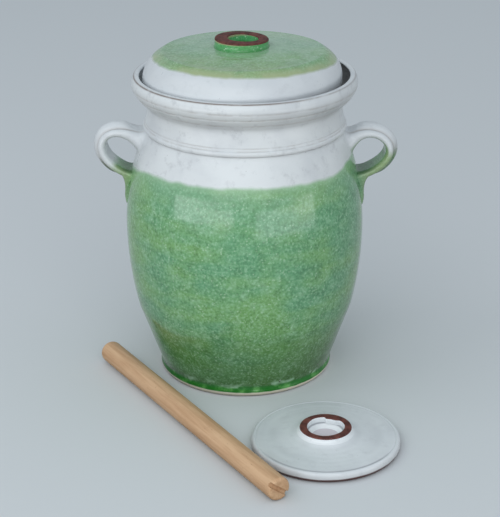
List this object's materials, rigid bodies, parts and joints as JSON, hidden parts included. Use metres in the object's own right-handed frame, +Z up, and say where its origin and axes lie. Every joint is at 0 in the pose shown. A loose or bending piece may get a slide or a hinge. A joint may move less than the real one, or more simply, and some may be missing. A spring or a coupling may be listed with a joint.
{
  "type": "fermentation crock",
  "caption": "Round stoneware fermentation crock with strap handles and a water channel round its mouth, with a lid that stands in the channel, a disc weight and a wooden stick lying in front.",
  "frame": {"origin": "centre of the crock's foot, on the table", "axes": "+Z up along the crock's axis, -Y towards the viewer of the picture, +X towards the viewer's right"},
  "size_m": [0.2681, 0.3606, 0.3081],
  "materials": {
    "green_glaze": "speckled semi-gloss glaze",
    "white_glaze": "cloudy semi-gloss glaze",
    "bare_clay": "bare fired clay",
    "beech": "sanded bare wood"
  },
  "bodies": {
    "crock": {"crock_body": "green_glaze", "gutter_collar": "white_glaze", "left_handle": "white_glaze", "right_handle": "white_glaze"},
    "lid": {"lid_shell": "green_glaze", "lid_knob_ring": "green_glaze"},
    "weight": {"weight_plate": "white_glaze", "weight_knob_ring": "bare_clay"},
    "stick": {"stick": "beech"}
  },
  "joints": [
    {"name": "lid_lift", "type": "slide", "parent": "crock", "child": "lid", "axis": [0, 0, 1], "range_m": [0, 0.12]},
    {"name": "weight_lift", "type": "slide", "parent": "crock", "child": "weight", "axis": [0, 0, 1], "range_m": [0, 0.32]},
    {"name": "stick_lift", "type": "slide", "parent": "crock", "child": "stick", "axis": [-0.6003, -0.3737, 0.7071], "range_m": [0, 0.25]}
  ]
}
